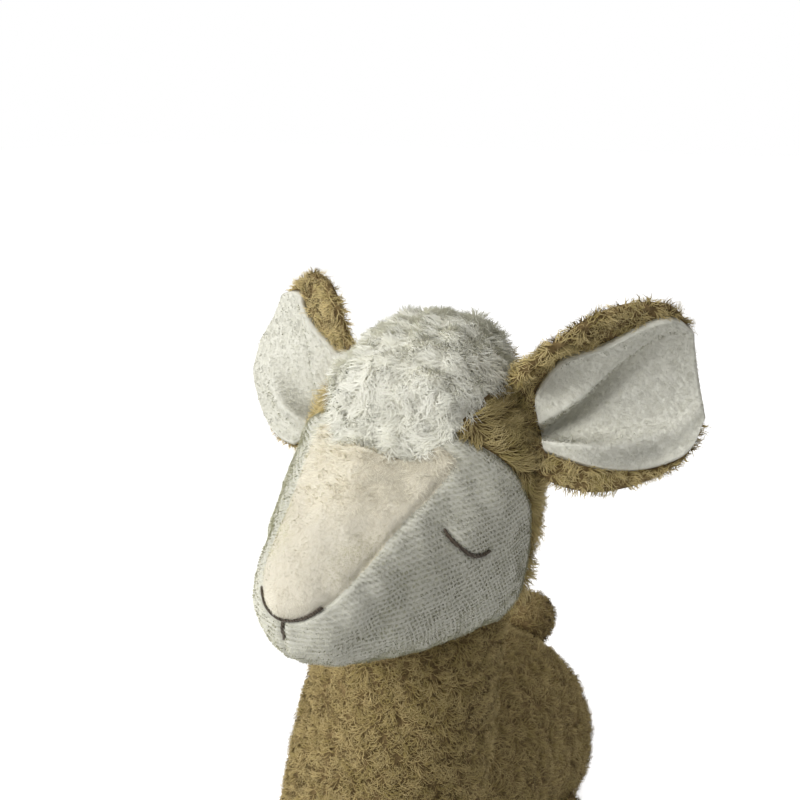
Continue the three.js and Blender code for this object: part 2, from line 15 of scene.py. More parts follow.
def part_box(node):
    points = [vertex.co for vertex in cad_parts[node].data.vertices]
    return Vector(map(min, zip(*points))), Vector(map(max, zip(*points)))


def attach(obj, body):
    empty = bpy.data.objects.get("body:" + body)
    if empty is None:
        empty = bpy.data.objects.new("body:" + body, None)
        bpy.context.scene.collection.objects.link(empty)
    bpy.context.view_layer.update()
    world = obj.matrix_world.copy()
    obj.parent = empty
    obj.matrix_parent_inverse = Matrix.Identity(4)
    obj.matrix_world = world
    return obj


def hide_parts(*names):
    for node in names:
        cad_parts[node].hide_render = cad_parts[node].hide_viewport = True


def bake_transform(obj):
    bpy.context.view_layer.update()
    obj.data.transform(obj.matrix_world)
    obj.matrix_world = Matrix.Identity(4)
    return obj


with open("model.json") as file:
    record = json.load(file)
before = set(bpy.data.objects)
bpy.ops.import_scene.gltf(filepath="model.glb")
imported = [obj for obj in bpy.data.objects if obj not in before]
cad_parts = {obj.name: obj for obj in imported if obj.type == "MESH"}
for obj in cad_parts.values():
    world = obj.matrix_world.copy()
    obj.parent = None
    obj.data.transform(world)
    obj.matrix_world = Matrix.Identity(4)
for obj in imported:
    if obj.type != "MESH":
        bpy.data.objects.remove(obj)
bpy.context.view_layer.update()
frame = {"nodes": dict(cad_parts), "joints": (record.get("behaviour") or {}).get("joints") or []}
MM = 0.001
JOINTS = {joint["name"]: joint for joint in frame["joints"]}
SHOULDER = np.array(JOINTS["neck_bend"]["pos_m"])
SKULL = np.array(JOINTS["head_nod"]["pos_m"])
scene = bpy.context.scene

# Camera

VIEW_AZIMUTH, VIEW_ELEVATION = 30.0, 20.0
LENS, SENSOR = 36.0, 36
PICTURE_SIDE = 800
HEAD_POINT = Vector((0, SKULL[1] - 4 * MM, SKULL[2] + 1 * MM))
HEAD_PIXEL = (424, 468)
PIXEL = 0.34 * MM


def make_camera():
    a, e = math.radians(VIEW_AZIMUTH), math.radians(VIEW_ELEVATION)
    ahead = Vector((-math.sin(a) * math.cos(e), math.cos(a) * math.cos(e), -math.sin(e)))
    right = Vector((math.cos(a), math.sin(a), 0))
    up = right.cross(ahead)
    away = PIXEL * PICTURE_SIDE * LENS / SENSOR
    data = bpy.data.cameras.new("camera")
    data.lens, data.sensor_width, data.clip_start, data.clip_end = LENS, SENSOR, 0.01, 50
    camera = bpy.data.objects.new("camera", data)
    aside, below = ((pixel - PICTURE_SIDE / 2) * PIXEL for pixel in HEAD_PIXEL)
    place = HEAD_POINT - ahead * away - right * aside + up * below
    camera.matrix_world = Matrix.Translation(place) @ Matrix((right, up, -ahead)).transposed().to_4x4()
    scene.collection.objects.link(camera)
    scene.camera = camera
    scene.view_settings.view_transform = "Standard"


make_camera()

# Materials


class Paint:
    """A node material around one Principled shader."""

    def __init__(self, name, roughness=0.9, sheen=0.0):
        self.material = bpy.data.materials.new(name)
        self.material.use_nodes = True
        self.tree = self.material.node_tree
        self.shader = self.tree.nodes["Principled BSDF"]
        self.set(self.shader, {"Roughness": roughness, "Sheen Weight": sheen, "Specular IOR Level": 0.25})

    def set(self, node, values):
        for key, value in values.items():
            socket = node.inputs[key]
            if isinstance(value, bpy.types.NodeSocket):
                self.tree.links.new(value, socket)
            else:
                socket.default_value = value

    def node(self, kind, values=None, output=0, **settings):
        node = self.tree.nodes.new("ShaderNode" + kind)
        for key, value in settings.items():
            setattr(node, key, value)
        self.set(node, values or {})
        return node.outputs[output]

    def maths(self, operation, a, b=0.0, c=0.0):
        return self.node("Math", {0: a, 1: b, 2: c}, operation=operation)

    def ramp(self, share, stops):
        node = self.tree.nodes.new("ShaderNodeValToRGB")
        elements = node.color_ramp.elements
        while len(elements) < len(stops):
            elements.new(0.5)
        for element, (place, colour) in zip(elements, stops):
            element.position, element.color = place, colour
        self.set(node, {0: share})
        return node.outputs[0]

    def place(self):
        return self.tree.nodes.new("ShaderNodeTexCoord").outputs["Object"]

    def noise(self, scale, detail=3.0):
        values = {"Scale": scale, "Detail": detail, "Roughness": 0.55, "Vector": self.place()}
        return self.node("TexNoise", values)

    def stripes(self, direction, pitch, wobble=0.0, wobble_scale=60.0):
        """Smooth waves, 0 to 1, along a direction at a pitch in metres."""
        along = self.node("VectorMath", {0: self.place(), 1: direction}, "Value", operation="DOT_PRODUCT")
        if wobble:
            along = self.maths("MULTIPLY_ADD", self.noise(wobble_scale), wobble, along)
        wave = self.maths("SINE", self.maths("MULTIPLY", along, 2 * math.pi / pitch))
        return self.maths("MULTIPLY_ADD", wave, 0.5, 0.5)

    def bump(self, height, distance):
        out = self.node("Bump", {"Height": height, "Distance": distance, "Strength": 1.0})
        self.set(self.shader, {"Normal": out})

    def colour(self, value):
        self.set(self.shader, {"Base Color": value})
        return self.material


def rgb(r, g, b):
    return (r, g, b, 1.0)


def pile_paint(name, root, middle, tip, spread):
    """Colour of single hairs: V runs from root to tip, U is the hair's shade, which on the nap of the face
    also carries painted light and shade.
    """
    paint = Paint(name, 0.8)
    uv = paint.node("UVMap", uv_map="OFBake")
    parts = paint.tree.nodes.new("ShaderNodeSeparateXYZ")
    paint.set(parts, {0: uv})
    along = paint.ramp(parts.outputs[1], [(0.0, root), (0.45, middle), (1.0, tip)])
    shade = paint.maths("MULTIPLY_ADD", parts.outputs[0], 2 * spread, 1 - spread)
    # darker hairs are yellower, and brighter ones keep their hue
    blue = paint.maths("MULTIPLY", shade, paint.maths("MINIMUM", shade, 1.0))
    grey = paint.node("CombineXYZ", {0: shade, 1: shade, 2: blue})
    tinted = paint.node("Mix", {0: 1.0, 6: along, 7: grey}, 2, data_type="RGBA", blend_type="MULTIPLY")
    return paint.colour(tinted)


def velour_paint(name, light, dark, direction, pitch, depth, courses=1.0):
    """Short knitted velour: courses along the fabric, broken by the pile."""
    paint = Paint(name, 0.95, 0.1)
    waves = paint.stripes(direction, pitch, 0.0014, 160)
    breaks = paint.noise(1300, 2)
    fleece = paint.noise(520, 4)
    rows = paint.maths("MULTIPLY", paint.maths("MULTIPLY", waves, courses), breaks)
    height = paint.maths("ADD", rows, fleece)
    paint.bump(height, depth)
    broad = paint.maths("MULTIPLY", paint.noise(38, 3), 0.62)
    tone = paint.maths("ADD", paint.maths("MULTIPLY", height, 0.3), broad)
    return paint.colour(paint.ramp(tone, [(0.3, dark), (0.68, light)]))


def backing_paint(name, light, dark):
    paint = Paint(name, 1.0)
    curls = paint.noise(260, 4)
    paint.bump(curls, 0.002)
    return paint.colour(paint.ramp(curls, [(0.3, dark), (0.7, light)]))


def woven_paint(name, light, dark, pitch):
    paint = Paint(name, 0.9, 0.15)
    warp = paint.stripes((1, 0, 0.15), pitch, 0.0003, 200)
    weft = paint.stripes((0, 1, 0.1), pitch, 0.0003, 200)
    weave = paint.maths("MAXIMUM", warp, weft)
    slub = paint.noise(300, 3)
    paint.bump(paint.maths("MULTIPLY_ADD", slub, 0.4, weave), 0.0003)
    tone = paint.maths("MULTIPLY_ADD", weave, 0.5, paint.maths("MULTIPLY", slub, 0.5))
    return paint.colour(paint.ramp(tone, [(0.25, dark), (0.8, light)]))


def thread_paint(name, light, dark):
    paint = Paint(name, 0.7, 0.2)
    twist = paint.stripes((0.6, 0.5, 0.62), 0.0007)
    paint.bump(twist, 0.0002)
    tone = paint.maths("MULTIPLY_ADD", paint.noise(500), 0.6, paint.maths("MULTIPLY", twist, 0.4))
    return paint.colour(paint.ramp(tone, [(0.2, dark), (0.8, light)]))


BROWN_PILE = pile_paint("brown_plush_pile", rgb(.19, .13, .05), rgb(.53, .42, .19), rgb(.74, .62, .33), .26)
# painted shade: a darker copy of the brown pile for the body below the head, which lies in more shade
SHADED_BROWN_PILE = pile_paint("brown_body_pile", rgb(.15, .10, .038), rgb(.42, .32, .135), rgb(.60, .48, .235), .26)
WHITE_PILE = pile_paint("white_long_pile", rgb(.90, .89, .79), rgb(.94, .93, .83), rgb(.96, .955, .87), .02)
CREAM_PILE = pile_paint("cream_short_pile", rgb(.70, .66, .535), rgb(.77, .735, .61), rgb(.84, .81, .70), .26)
LINING_PILE = pile_paint("ear_short_pile", rgb(.64, .63, .55), rgb(.76, .75, .665), rgb(.85, .84, .76), .07)
CHEEK_PILE = pile_paint("cheek_short_pile", rgb(.58, .57, .48), rgb(.67, .66, .555), rgb(.75, .74, .635), .3)
TAPE_PILE = pile_paint("hook_and_loop_pile", rgb(.22, .16, .085), rgb(.40, .31, .18), rgb(.52, .42, .27), .15)
# painted shade: the brown backing is much darker than the pile, for shadow among the hair roots
BROWN_BACK_ROOT_SHADE = backing_paint("brown_plush_backing", rgb(.27, .19, .085), rgb(.11, .073, .028))
WHITE_BACK = backing_paint("white_pile_backing", rgb(.94, .93, .84), rgb(.88, .86, .76))
CHEEK = velour_paint("cheek_velour", rgb(.73, .72, .63), rgb(.61, .60, .52), (0, -.25, 1), .0014, .0002, 0.4)
BRIDGE = velour_paint("bridge_velour", rgb(.82, .78, .66), rgb(.71, .65, .52), (1, 0, .1), .0022, .0003, 0.1)
LINING = velour_paint("ear_velour", rgb(.83, .82, .73), rgb(.72, .71, .62), (.2, .3, 1), .0013, .0006, 0.0)
COTTON = woven_paint("unbleached_cotton", rgb(.80, .73, .58), rgb(.58, .50, .36), .0011)
THREAD = thread_paint("brown_thread", rgb(.115, .085, .055), rgb(.035, .027, .018))
TAPE = woven_paint("hook_and_loop", rgb(.52, .41, .26), rgb(.26, .19, .10), .0009)

# Meshes


def mesh_object(name, points, faces, paint=None, smooth=True):
    mesh = bpy.data.meshes.new(name)
    mesh.from_pydata(np.asarray(points).tolist(), [], [list(map(int, face)) for face in faces])
    mesh.update()
    mesh.polygons.foreach_set("use_smooth", [smooth] * len(mesh.polygons))
    obj = bpy.data.objects.new(name, mesh)
    scene.collection.objects.link(obj)
    if paint:
        mesh.materials.append(paint)
    return obj


def values_of(items, key, width, kind=np.float32):
    flat = np.empty(len(items) * width, kind)
    items.foreach_get(key, flat)
    return flat.reshape(-1, width)


def points_of(mesh):
    return values_of(mesh.vertices, "co", 3).astype(float)


def normals_of(mesh):
    return values_of(mesh.vertex_normals, "vector", 3).astype(float)


def triangles_of(mesh):
    mesh.calc_loop_triangles()
    return values_of(mesh.loop_triangles, "vertices", 3, np.int32)


def edges_of(mesh):
    return values_of(mesh.edges, "vertices", 2, np.int32)


def set_points(mesh, points):
    mesh.vertices.foreach_set("co", np.asarray(points, np.float32).ravel())
    mesh.update()


def repaint(obj, paint):
    obj.data.materials.clear()
    obj.data.materials.append(paint)


def unit(vectors):
    return vectors / np.maximum(np.linalg.norm(vectors, axis=-1, keepdims=True), 1e-12)


def panel(name, points, normals, triangles, paint):
    """Object from some triangles of a skin; also its points, normals and triangles."""
    used, renamed = np.unique(triangles, return_inverse=True)
    skin = points[used], normals[used], renamed.reshape(-1, 3)
    piece = mesh_object(name, skin[0], skin[2], paint)
    piece.data.normals_split_custom_set_from_vertices(skin[1].astype(np.float32))
    return piece, skin


def copy_of(name, nodes):
    """One object from copies of CAD nodes."""
    points, faces, start = [], [], 0
    for node in nodes:
        mesh = frame["nodes"][node].data
        points.append(points_of(mesh))
        faces.extend((triangles_of(mesh) + start).tolist())
        start += len(mesh.vertices)
    return mesh_object(name, np.concatenate(points), faces)


def baked(obj):
    """Puts the result of the object's modifiers into its mesh."""
    bpy.context.view_layer.update()
    mesh = bpy.data.meshes.new_from_object(obj.evaluated_get(bpy.context.evaluated_depsgraph_get()))
    obj.modifiers.clear()
    old, obj.data = obj.data, mesh
    mesh.name = old.name
    bpy.data.meshes.remove(old)
    mesh.polygons.foreach_set("use_smooth", [True] * len(mesh.polygons))
    return obj


def remeshed(name, nodes, voxel, smoothing):
    """Closed skin round CAD nodes, with their facets smoothed away."""
    obj = copy_of(name, nodes)
    change = obj.modifiers.new("remesh", "REMESH")
    change.mode, change.voxel_size, change.use_smooth_shade = "VOXEL", voxel, True
    smooth = obj.modifiers.new("smooth", "SMOOTH")
    smooth.factor, smooth.iterations = 0.5, smoothing
    return baked(obj)


def subdivided(obj, levels):
    change = obj.modifiers.new("subdivide", "SUBSURF")
    change.levels = change.render_levels = levels
    return baked(obj)


def inflate(jobs, frames=20):
    """Cloth under pressure, all pieces in one run.

    Each job is (object, pressure, cap in metres, pinned mask).
    """
    rest = {}
    for obj, pressure, cap, pinned in jobs:
        rest[obj.name] = points_of(obj.data)
        group = obj.vertex_groups.new(name="pin")
        group.add([int(i) for i in np.flatnonzero(pinned)], 1.0, "REPLACE")
        cloth = obj.modifiers.new("cloth", "CLOTH")
        settings = cloth.settings
        settings.quality, settings.mass = 5, 0.15
        settings.tension_stiffness = settings.compression_stiffness = 12
        settings.bending_stiffness = 0.4
        settings.use_pressure, settings.uniform_pressure_force = True, pressure
        settings.effector_weights.gravity = 0
        settings.vertex_group_mass = "pin"
        cloth.collision_settings.use_collision = False
        cloth.point_cache.frame_start, cloth.point_cache.frame_end = 1, frames
    for step in range(1, frames + 1):
        scene.frame_set(step)
    for obj, pressure, cap, pinned in jobs:
        baked(obj)
        moved = points_of(obj.data) - rest[obj.name]
        far = np.linalg.norm(moved, axis=1, keepdims=True)
        set_points(obj.data, rest[obj.name] + moved * np.minimum(1, cap / np.maximum(far, 1e-9)))
        obj.vertex_groups.clear()
    scene.frame_set(1)


def ease(values, low, high):
    """0 up to low, 1 from high, smooth between them."""
    share = np.clip((values - low) / (high - low), 0, 1)
    return share * share * (3 - 2 * share)


def curve(points, count=24):
    """Smooth curve through points."""
    points = np.asarray(points, float)
    slopes = np.gradient(points, axis=0)
    out = []
    for t in np.linspace(0, len(points) - 1, count):
        i = min(int(t), len(points) - 2)
        s = t - i
        h = (2 * s ** 3 - 3 * s ** 2 + 1, s ** 3 - 2 * s ** 2 + s, -2 * s ** 3 + 3 * s ** 2, s ** 3 - s ** 2)
        out.append(h[0] * points[i] + h[1] * slopes[i] + h[2] * points[i + 1] + h[3] * slopes[i + 1])
    return np.array(out)


def bumps(points, scale, seed):
    """Smooth random values, about -1 to 1, from a few sums of waves."""
    rng = np.random.default_rng(seed)
    total = np.zeros(len(points))
    for _ in range(7):
        way = unit(rng.normal(size=3)) * rng.uniform(0.6, 1.5) * 2 * math.pi / scale
        total += np.sin(points @ way + rng.uniform(0, 6.28))
    return total / 3.0


def wrinkle(obj, depth, scale, seed):
    mesh = obj.data
    points = points_of(mesh)
    set_points(mesh, points + normals_of(mesh) * (depth * bumps(points, scale, seed))[:, None])


# Hair

FLOOR_CLEARANCE = 0.3 * MM


def scatter(points, normals, triangles, density, seed):
    """Roots spread evenly over triangles, with their normals. Density is per square millimetre."""
    rng = np.random.default_rng(seed)
    a, b, c = (points[triangles[:, k]] for k in range(3))
    area = np.linalg.norm(np.cross(b - a, c - a), axis=1) / 2
    total = area.sum()
    count = int(total * 1e6 * density * (1.0))
    pick = np.searchsorted(np.cumsum(area), (np.arange(count) + rng.random(count)) / count * total)
    pick = np.minimum(pick, len(triangles) - 1)
    u, v = rng.random(count), rng.random(count)
    fold = u + v > 1
    u[fold], v[fold] = 1 - u[fold], 1 - v[fold]
    w = np.stack([1 - u - v, u, v], 1)[:, :, None]
    corners = triangles[pick]
    return (points[corners] * w).sum(1), unit((normals[corners] * w).sum(1))


def locks(roots, spacing, seed):
    """Index of each root's lock, and the root each lock grows round."""
    centres, taken = [], set()
    for i in np.random.default_rng(seed).permutation(len(roots)):
        cell = tuple(np.floor(roots[i] / spacing).astype(int))
        if cell not in taken:
            taken.add(cell)
            centres.append(i)
    tree = KDTree(len(centres))
    for k, i in enumerate(centres):
        tree.insert(roots[i], k)
    tree.balance()
    return np.array([tree.find(root)[1] for root in roots]), np.array(centres)


def hair(name, roots, normals, lean, length, width, bend, twist, shade, paint, steps, sink):
    """Flat tapering hairs. Each leans from its normal by bend[0] to bend[1] and turns sideways by twist."""
    count = len(roots)
    along = unit(lean - (lean * normals).sum(1, keepdims=True) * normals)
    beside = np.cross(normals, along)
    place = roots - normals * sink
    rows, facing = [], []
    widths = width[:, None] * np.linspace(1.0, 0.35, steps)[None, :]
    for k in range(steps + 1):
        share = min(k + 0.5, steps) / steps
        lean_angle = (bend[0] + (bend[1] - bend[0]) * share)[:, None]
        turn = (twist * share)[:, None]
        flat = np.cos(turn) * along + np.sin(turn) * beside
        heading = np.cos(lean_angle) * normals + np.sin(lean_angle) * flat
        side = unit(np.cross(heading, normals) + 1e-6 * beside)
        face = np.cross(side, heading)
        face *= np.sign((face * normals).sum(1, keepdims=True) + 1e-9)
        light = unit(0.8 * normals + 0.3 * face)
        if k < steps:
            rows += [place - side * widths[:, k:k + 1] / 2, place + side * widths[:, k:k + 1] / 2]
            facing += [light, light]
        else:
            rows.append(place)
            facing.append(light)
        place = place + heading * (length / steps)[:, None]
    each = 2 * steps + 1
    points = np.stack(rows, 1).reshape(-1, 3)
    points[:, 2] = np.maximum(points[:, 2], FLOOR_CLEARANCE)
    directions = np.stack(facing, 1).reshape(-1, 3)
    faces = []
    for k in range(steps - 1):
        faces += [(2 * k, 2 * k + 1, 2 * k + 3), (2 * k, 2 * k + 3, 2 * k + 2)]
    faces.append((2 * steps - 2, 2 * steps - 1, 2 * steps))
    pattern = np.array(faces)
    index = (np.arange(count)[:, None, None] * each + pattern[None]).reshape(-1, 3)
    mesh = bpy.data.meshes.new(name)
    mesh.vertices.add(len(points))
    mesh.loops.add(index.size)
    mesh.polygons.add(len(index))
    mesh.vertices.foreach_set("co", points.astype(np.float32).ravel())
    mesh.loops.foreach_set("vertex_index", index.astype(np.int32).ravel())
    mesh.polygons.foreach_set("loop_start", np.arange(0, index.size, 3, dtype=np.int32))
    mesh.polygons.foreach_set("use_smooth", np.ones(len(index), bool))
    mesh.update(calc_edges=True)
    step_of = np.array([k // 2 for k in range(2 * steps)] + [steps]) / steps
    side_of = np.array([-1, 1] * steps + [0]) * 0.002
    v = 0.02 + 0.96 * step_of[index % each]
    u = np.clip(np.round(shade * 60) / 62 + 0.016, 0.01, 0.99)[index // each] + side_of[index % each]
    layer = mesh.uv_layers.new(name="OFBake")
    layer.data.foreach_set("uv", np.stack([u, v], -1).astype(np.float32).ravel())
    mesh.normals_split_custom_set_from_vertices(directions.astype(np.float32))
    mesh.materials.append(paint)
    obj = bpy.data.objects.new(name, mesh)
    scene.collection.objects.link(obj)
    return obj


def fur(name, points, normals, triangles, seed, paint, density, length, width, lock, flow=None, curl=1.0,
        lift=(0.15, 1.9), gather=0.5, spread=0.25, most=27000, steps=4, sink=0.5 * MM, settle_roots=None,
        tone=None, grain=0.16):
    """Locks of hair over a skin; returns the hair objects.

    flow gives the way a hair lies at each root, settle_roots moves the roots, tone gives their shade.
    """
    rng = np.random.default_rng(seed)
    roots, up = scatter(points, normals, triangles, density, seed)
    if len(roots) == 0:
        return []
    if settle_roots:
        roots = settle_roots(roots, up)
    own, centres = locks(roots, lock, seed + 1)
    number = len(centres)
    swirl = rng.normal(size=(number, 3))
    lay = unit(swirl) * (1.0 if flow is None else 0.45)
    if flow is not None:
        lay = lay + unit(flow(roots[centres], up[centres]))
    lay = unit(lay)
    lock_length = rng.uniform(0.75, 1.2, number)
    lock_twist = rng.choice([-1, 1], number) * rng.uniform(0.5, 1.9, number) * curl
    lock_shade = rng.uniform(0.2, 0.8, number)
    lock_bend = rng.uniform(0.8, 1.15, number)
    count = len(roots)
    reach = length(roots) if callable(length) else length
    size = reach * lock_length[own] * rng.uniform(0.75, 1.15, count)
    peak = roots[centres][own] + up[centres][own] * 0.5 * size[:, None] + lay[own] * 0.55 * size[:, None]
    pull = (peak - roots) / np.maximum(size, 1e-6)[:, None]
    lean = lay[own] + gather * pull + rng.normal(size=(count, 3)) * spread
    bend = (lift[0] + rng.normal(size=count) * 0.12, lift[1] * lock_bend[own] + rng.normal(size=count) * 0.22)
    twist = lock_twist[own] + rng.normal(size=count) * 0.35
    shade = lock_shade[own] if tone is None else tone(roots)
    shade = np.clip(shade + rng.normal(size=count) * grain, 0, 1)
    thick = width * rng.uniform(0.7, 1.25, count)
    parts = max(1, math.ceil(count / most))
    made = []
    for part in range(parts):
        here = slice(part, None, parts)
        label = name if parts == 1 else f"{name}_{part + 1}"
        made.append(hair(label, roots[here], up[here], lean[here], size[here], thick[here],
                         (bend[0][here], bend[1][here]), twist[here], shade[here], paint, steps, sink))
    return made


def skin_of(obj, keep=None):
    """Points, normals and triangles of a skin, with the triangles that keep(middles, normals) allows."""
    mesh = obj.data
    points, normals, triangles = points_of(mesh), normals_of(mesh), triangles_of(mesh)
    if keep is not None:
        middles = points[triangles].mean(1)
        triangles = triangles[keep(middles, unit(normals[triangles].mean(1)))]
    return points, normals, triangles


def settle(objs, body, across=None):
    """Makes pieces ride on a body; pieces across a joint only have their transform baked."""
    for obj in objs:
        if across:
            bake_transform(obj)
        else:
            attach(obj, body)


# Stuffed body, neck, legs and tail

RUMP_NARROWER, RIM_NARROWER = 0.15, 0.08
WALL_OUTSIDE, WALL_INSIDE = 3.5 * MM, 2.5 * MM
TAIL_BROADER = 1.25
TORSO_NODES = ["left_torso_side", "right_torso_side", "belly_panel", "torso_stuffing"]
torso = remeshed("torso_skin", TORSO_NODES, 2.6 * MM, 10)
neck = remeshed("neck_cover", ["neck_skin", "neck_stuffing"], 2.6 * MM, 10)
LIMBS = ["left_front_leg", "right_front_leg", "left_hind_leg", "right_hind_leg", "tail"]
limbs = {limb: remeshed(limb + "_cover", [limb + "_skin", limb + "_stuffing"], 2.4 * MM, 8) for limb in LIMBS}

pocket_low, pocket_high = (np.array(corner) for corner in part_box("pocket_bag"))
pocket_mid = (pocket_low + pocket_high) / 2


def in_pocket(points, grow=2.5 * MM):
    half = (pocket_high - pocket_low) / 2 + grow
    return ((np.abs(points[:, 0]) < half[0]) & (np.abs(points[:, 2] - pocket_mid[2]) < half[2])
            & (points[:, 1] > pocket_low[1] - grow))


def floor_pins(obj):
    return points_of(obj.data)[:, 2] < 2.5 * MM


jobs = [(torso, 2.0, 1.5 * MM, floor_pins(torso) | in_pocket(points_of(torso.data), 5 * MM)),
        (neck, 2.5, 1.5 * MM, np.zeros(len(neck.data.vertices), bool))]
jobs += [(limb, 3.0, 1.2 * MM, floor_pins(limb)) for limb in limbs.values()]
inflate(jobs)


def shape_torso():
    """Narrows the rump towards the back, widens it on the floor and thickens the wall beside the pocket."""
    spots = points_of(torso.data)
    height = spots[:, 2]
    rear = ease(spots[:, 1], SHOULDER[1] + 30 * MM, SHOULDER[1] + 95 * MM)
    rim = ease(spots[:, 1], SHOULDER[1] + 86 * MM, SHOULDER[1] + 107 * MM)
    spots[:, 0] *= 1 - RUMP_NARROWER * rear * ease(height, 38 * MM, 64 * MM)
    side = ease(np.abs(spots[:, 0]), 20 * MM, 36 * MM)
    spots[:, 0] += 3 * MM * np.sign(spots[:, 0]) * rear * (1 - ease(height, 12 * MM, 40 * MM)) * side
    spots[:, 0] *= 1 - RIM_NARROWER * rim * ease(height, 34 * MM, 52 * MM)
    # the wall is thin beside the pocket's inner end
    outward = spots[:, 0] * normals_of(torso.data)[:, 0] > 0
    behind, above = spots[:, 1] - pocket_low[1] - 4 * MM, height - pocket_mid[2]
    thin = np.exp(-(behind / (16 * MM)) ** 2 - (above / (11 * MM)) ** 2)
    thin *= ease(np.abs(spots[:, 0]), 18 * MM, 28 * MM)
    spots[:, 0] += np.sign(spots[:, 0]) * thin * np.where(outward, WALL_OUTSIDE, -WALL_INSIDE)
    set_points(torso.data, spots)


def broaden_tail():
    spots = points_of(limbs["tail"].data)
    spots[:, 0] *= TAIL_BROADER
    set_points(limbs["tail"].data, spots)


shape_torso()
broaden_tail()
for piece in [torso, neck, *limbs.values()]:
    repaint(piece, BROWN_BACK_ROOT_SHADE)
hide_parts(*TORSO_NODES)
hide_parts("neck_skin", "neck_stuffing")
for limb, piece in limbs.items():
    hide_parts(limb + "_skin", limb + "_stuffing")

NECK_LOW = (0.0, float(SHOULDER[1]), float(SHOULDER[2] + 14 * MM))
NECK_HIGH = (0.0, float(SHOULDER[1] + 8 * MM), float(SHOULDER[2] + 62 * MM))
NECK_ACROSS = ("torso", "neck", NECK_LOW, NECK_HIGH)


def downward(points, normals):
    return np.tile([0.0, 0.1, -1.0], (len(points), 1))


def backward(points, normals):
    return np.tile([0.0, 1.0, -0.35], (len(points), 1))


def above_floor(middles, normals):
    return (middles[:, 2] > 1.5 * MM) & (normals[:, 2] > -0.9)


def torso_outside(middles, normals):
    inward = ((middles - pocket_mid)[:, [0, 2]] * normals[:, [0, 2]]).sum(1) < 0
    lining = in_pocket(middles) & (inward | (middles[:, 1] > pocket_high[1] - 8 * MM))
    return above_floor(middles, normals) & ~lining


NECK_PILE_LOWEST = 30 * MM
brown = dict(paint=BROWN_PILE, width=0.36 * MM, steps=3, most=38000)
# the body's hair takes the darker, painted-shade copy of the brown pile
shaded_brown = brown | {"paint": SHADED_BROWN_PILE}
curly = shaded_brown | {"gather": 0.3, "spread": 0.5}
torso_fur = fur("torso_pile", *skin_of(torso, torso_outside), seed=11, density=1.3, length=5.5 * MM,
                lock=4.5 * MM, flow=backward, curl=1.8, lift=(0.25, 2.2), **curly)
neck_fur = fur("neck_pile", *skin_of(neck, lambda middles, normals: middles[:, 2] > NECK_PILE_LOWEST),
               seed=21, density=2.2, length=5 * MM, lock=3.6 * MM, flow=downward, curl=2.2,
               lift=(0.15, 2.3), **curly)
settle([torso], "torso")
settle(torso_fur, "torso")
settle([neck], "neck", NECK_ACROSS)
settle(neck_fur, "neck", NECK_ACROSS)
for number, (limb, piece) in enumerate(limbs.items()):
    made = fur(limb + "_pile", *skin_of(piece, above_floor), seed=31 + 2 * number, density=1.2, length=5 * MM,
               lock=4 * MM, curl=2.0, lift=(0.2, 2.2), **curly)
    settle([piece, *made], limb)

# Head: face panels, forelock and the plush behind them

HEAD_NODES = ["left_cheek", "right_cheek", "nose_bridge", "forelock", "head_back", "head_stuffing"]
FACE_CENTRE = np.array([SKULL[1] - 63 * MM, 181 * MM])
FACE_RADIUS = 55 * MM
BRIDGE_NOSE = (SKULL[1] - 78 * MM, 12 * MM)
BRIDGE_BACK = (SKULL[1] - 30 * MM, 25 * MM)
BRIDGE_LOWEST = 183 * MM
FORELOCK_MIDDLE = SKULL[1] - 9.5 * MM
FORELOCK_HALF = (28 * MM, 30 * MM)
FORELOCK_LOWEST = 205 * MM
JOWL_SWELL, BRIDGE_CROWN, CHEEK_HOLLOW = 4.8 * MM, 2.2 * MM, 1.5 * MM
# points of the eye are (Y from the nod hinge, height) in millimetres
EYE = [(-43.8, 199.4), (-42.9, 195.6), (-40.6, 192.1), (-37.6, 189.8), (-34.6, 189.1), (-32.4, 189.9)]
LID = (-37.4, 195)
EYE_SHIFT = {"left": (0, 0), "right": (7, -2.5)}

head = remeshed("head_form", HEAD_NODES, 2.4 * MM, 14)
inflate([(head, 2.0, 1.2 * MM, np.zeros(len(head.data.vertices), bool))])
subdivided(head, 2)


def to_face(p):
    return np.hypot(p[:, 1] - FACE_CENTRE[0], p[:, 2] - FACE_CENTRE[1]) - FACE_RADIUS


def to_bridge(p):
    share = (p[:, 1] - BRIDGE_NOSE[0]) / (BRIDGE_BACK[0] - BRIDGE_NOSE[0])
    half = BRIDGE_NOSE[1] + (BRIDGE_BACK[1] - BRIDGE_NOSE[1]) * np.clip(share, 0, 1.2)
    # the nose end is rounded, so the panel's lower edge curves from one mouth corner to the other
    lowest = BRIDGE_LOWEST + 6.5 * MM * np.clip(np.abs(p[:, 0]) / BRIDGE_NOSE[1], 0, 1.4) ** 2
    return np.maximum.reduce([np.abs(p[:, 0]) - half, lowest - p[:, 2], p[:, 1] - BRIDGE_BACK[0]])


def to_forelock(p):
    half = FORELOCK_HALF[0] - 0.42 * np.clip(233 * MM - p[:, 2], 0, 28 * MM)
    along, aside = (p[:, 1] - FORELOCK_MIDDLE) / FORELOCK_HALF[1], p[:, 0] / half
    reach = (np.abs(along) ** 3 + np.abs(aside) ** 3) ** (1 / 3)
    return np.maximum((reach - 1) * 29 * MM, FORELOCK_LOWEST - p[:, 2])


def to_bridge_on_face(p):
    return np.where(np.maximum(to_face(p), -to_forelock(p)) < 1 * MM, to_bridge(p), 1.0)


def snap(points, edges, distance):
    """Moves the nearer end of each edge that crosses a seam onto the seam."""
    values = distance(points)
    a, b = edges[:, 0], edges[:, 1]
    cross = np.flatnonzero(values[a] * values[b] < 0)
    share = values[a[cross]] / (values[a[cross]] - values[b[cross]])
    spot = points[a[cross]] * (1 - share[:, None]) + points[b[cross]] * share[:, None]
    near_a = share < 0.5
    moved = points.copy()
    moved[a[cross][near_a]] = spot[near_a]
    moved[b[cross][~near_a]] = spot[~near_a]
    return moved


head_points = points_of(head.data)
